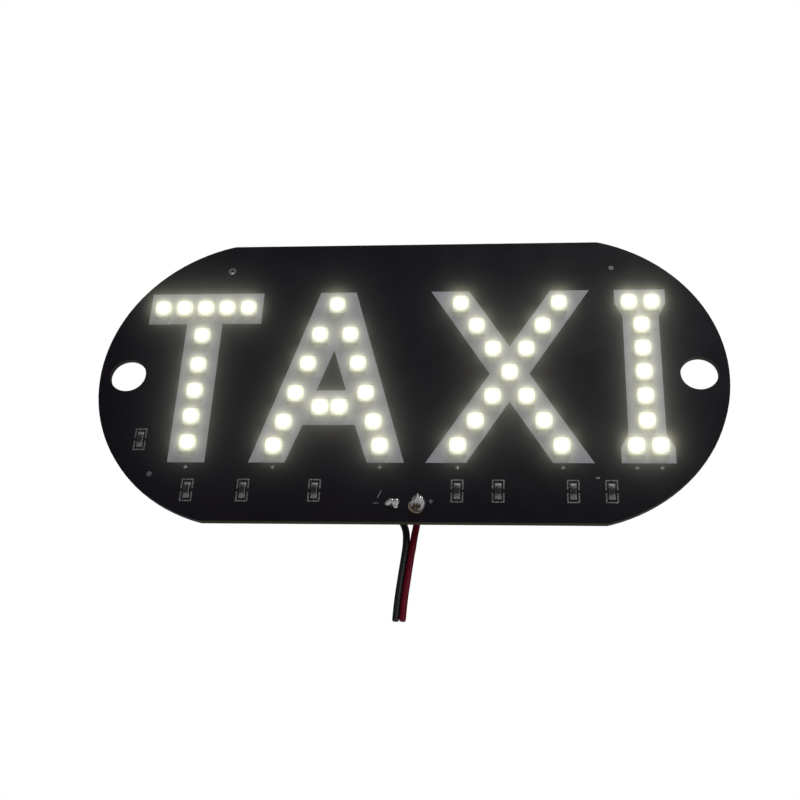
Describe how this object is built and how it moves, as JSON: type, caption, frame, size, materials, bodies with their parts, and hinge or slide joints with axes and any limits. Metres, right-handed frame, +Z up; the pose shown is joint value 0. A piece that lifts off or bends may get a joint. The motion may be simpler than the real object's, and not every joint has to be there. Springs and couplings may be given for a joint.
{
  "type": "led taxi sign",
  "caption": "Flat circuit board sign with rounded ends, lit LED block letters on white print, a suction cup hole at each end and a short red and black lead.",
  "frame": {"origin": "half way between the two suction cup holes, on the lit face of the board", "axes": "+X to the right along the word, +Z up, and the lit face looks along -Y, the way the suction cups leave"},
  "size_m": [0.19, 0.0113, 0.1238],
  "materials": {
    "laminate": "raw glass-fibre laminate, seen at the board's edge and in the holes",
    "solder_mask": "satin black",
    "copper": "etched copper and stripped wire",
    "tinned_pad": "tinned",
    "plated_hole": "plated copper with a brownish flux stain",
    "white_ink": "printed white ink",
    "led_housing": "white moulded package",
    "led_phosphor": "clear resin with yellow phosphor, lit cool white",
    "led_terminal": "silver plated",
    "led_chip": "polished sapphire",
    "resistor_body": "black overcoat",
    "resistor_cap": "tinned",
    "solder": "dull solder",
    "black_insulation": "soft PVC, satin",
    "red_insulation": "soft PVC, satin, dark red"
  },
  "bodies": {
    "root": {"board_core": "laminate", "front_mask": "solder_mask", "back_mask": "solder_mask", "copper_traces": "copper", "led_pads": "tinned_pad", "resistor_pads": "tinned_pad", "fiducial_pads": "tinned_pad", "lead_hole_plating": "plated_hole", "letter_t": "white_ink", "letter_a": "white_ink", "letter_x": "white_ink", "letter_i": "white_ink", "led_housings_t": "led_housing", "led_housings_a": "led_housing", "led_housings_x": "led_housing", "led_housings_i": "led_housing", "led_windows_t": "led_phosphor", "led_windows_a": "led_phosphor", "led_windows_x": "led_phosphor", "led_windows_i": "led_phosphor", "led_terminals_t": "led_terminal", "led_terminals_a": "led_terminal", "led_terminals_x": "led_terminal", "led_terminals_i": "led_terminal", "led_chips": "led_chip", "led_solder": "solder", "resistor_bodies": "resistor_body", "resistor_caps": "resistor_cap", "resistor_solder": "solder", "resistor_outlines": "white_ink", "printed_marks": "white_ink", "black_solder_joint": "solder", "red_solder_joint": "solder", "black_conductor": "copper", "red_conductor": "copper", "black_lead": "black_insulation", "red_lead": "red_insulation"}
  },
  "joints": []
}
